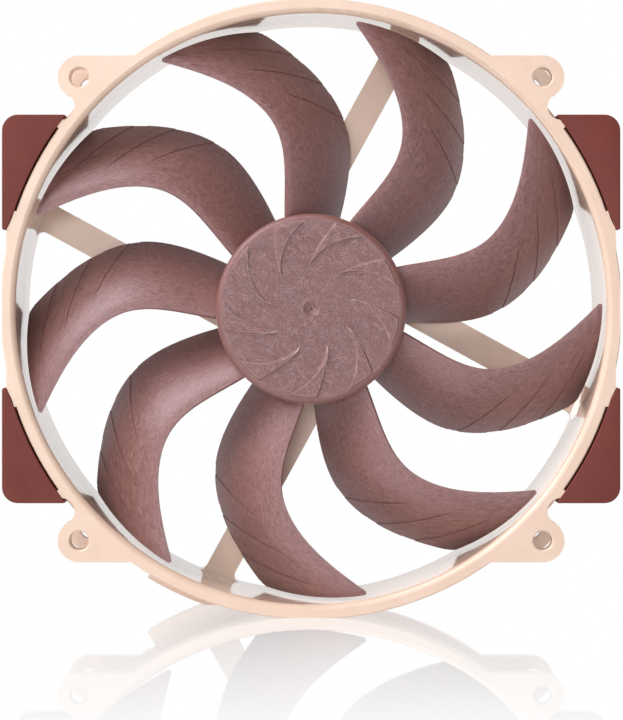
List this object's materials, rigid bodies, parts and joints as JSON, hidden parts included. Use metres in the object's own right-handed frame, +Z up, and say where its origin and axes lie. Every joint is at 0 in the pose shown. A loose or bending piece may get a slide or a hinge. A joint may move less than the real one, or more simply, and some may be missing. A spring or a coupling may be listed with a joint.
{
  "type": "case fan",
  "caption": "Round-framed axial case fan with swept blades on a centre hub, soft corner pads and slim rear struts.",
  "frame": {"origin": "centre of the bounding box, on the spin axis and midway through the depth", "axes": "+Y along the spin axis towards the rear (strut and exhaust side), -Y faces the intake, +Z up with the fan standing on its lower flat, +X to the right seen from the intake side"},
  "size_m": [0.14, 0.0256, 0.14],
  "materials": {
    "frame_plastic": "fine satin moulded beige polyester",
    "impeller_plastic": "fibre-filled brown moulding, satin, faint swirl of fibres",
    "silicone_pad": "soft matte maroon silicone",
    "yoke_steel": "drawn zinc-plated steel cup",
    "bonded_magnet": "dark bonded ferrite",
    "brass": "turned brass",
    "shaft_steel": "ground and polished steel",
    "clip_nylon": "natural nylon",
    "sintered_bronze": "oil-filled sintered bronze",
    "lamination_steel": "stacked silicon steel sheet",
    "insulator_nylon": "white glass-filled nylon",
    "copper_winding": "enamelled copper wire",
    "board_laminate": "green solder mask on glass laminate",
    "chip_epoxy": "black moulded epoxy",
    "ceramic_chip": "tan ceramic with tinned ends",
    "tinned_pins": "tinned pins",
    "label_film": "blank matt film"
  },
  "bodies": {
    "housing": {"frame": "frame_plastic", "front_pad_upper_left": "silicone_pad", "front_pad_upper_right": "silicone_pad", "front_pad_lower_left": "silicone_pad", "front_pad_lower_right": "silicone_pad", "rear_pad_upper_left": "silicone_pad", "rear_pad_upper_right": "silicone_pad", "rear_pad_lower_left": "silicone_pad", "rear_pad_lower_right": "silicone_pad", "bearing_housing": "brass", "sleeve_bearing": "sintered_bronze", "thrust_pad": "clip_nylon", "stabilising_magnet": "bonded_magnet", "oil_seal_washer": "clip_nylon", "stator_core": "lamination_steel", "upper_insulator": "insulator_nylon", "lower_insulator": "insulator_nylon", "stator_coil_1": "copper_winding", "stator_coil_2": "copper_winding", "stator_coil_3": "copper_winding", "stator_coil_4": "copper_winding", "circuit_board": "board_laminate", "driver_chip": "chip_epoxy", "hall_sensor": "chip_epoxy", "board_capacitors": "ceramic_chip", "board_resistors": "chip_epoxy", "winding_pins": "tinned_pins", "rear_label": "label_film"},
    "rotor": {"impeller": "impeller_plastic", "rotor_yoke": "yoke_steel", "rotor_magnet": "bonded_magnet", "shaft_boss": "brass", "rotor_shaft": "shaft_steel", "shaft_clip": "clip_nylon"}
  },
  "joints": [
    {"name": "rotor_spin", "type": "hinge", "parent": "housing", "child": "rotor", "pos_m": [0, 0, 0], "axis": [0, -1, 0], "continuous": true}
  ]
}
